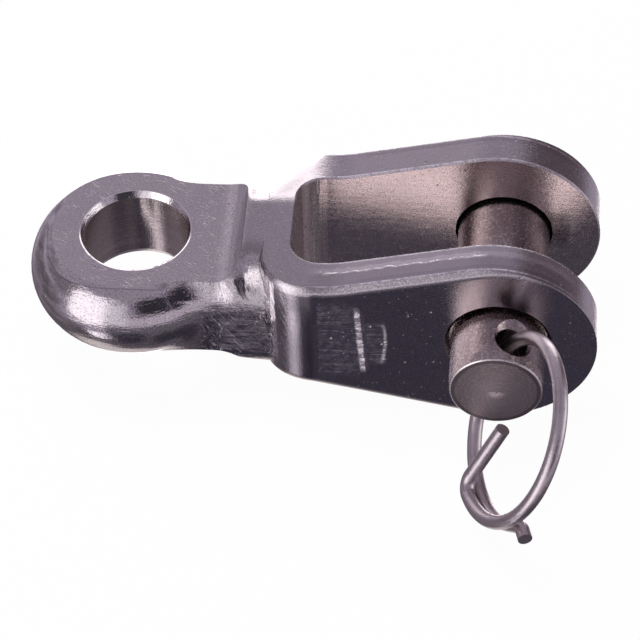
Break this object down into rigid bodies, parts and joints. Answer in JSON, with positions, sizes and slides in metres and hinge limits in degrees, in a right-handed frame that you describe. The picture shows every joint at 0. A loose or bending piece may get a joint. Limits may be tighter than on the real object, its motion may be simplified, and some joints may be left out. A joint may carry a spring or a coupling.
{
  "type": "eye and fork toggle with clevis pin",
  "caption": "Forged rigging toggle: an eye at one end, a two-eared fork at the other, with a headed clevis pin across the fork held by a bent-wire cotter ring.",
  "frame": {"origin": "centre of the eye's bore, halfway between the two milled faces", "axes": "+X from the eye to the fork, +Z along the eye's bore, Y along the clevis pin, whose head is on +Y and whose ring hangs on -Y"},
  "size_m": [0.0741, 0.0553, 0.0268],
  "materials": {
    "body_steel": "polished forging with milled and ground faces",
    "pin_steel": "turned, satin",
    "ring_steel": "drawn wire, satin"
  },
  "bodies": {
    "toggle": {"toggle_body": "body_steel"},
    "pin": {"clevis_pin": "pin_steel"},
    "ring": {"cotter_ring": "ring_steel"}
  },
  "joints": [
    {"name": "pin_turn", "type": "hinge", "parent": "toggle", "child": "pin", "pos_m": [0.0475, 0, -0.0003], "axis": [0, 1, 0], "continuous": true},
    {"name": "ring_swing", "type": "hinge", "parent": "pin", "child": "ring", "pos_m": [0.0475, -0.0162, -0.0003], "axis": [0.3616, 0, 0.9323], "range_deg": [-103, 80]}
  ]
}
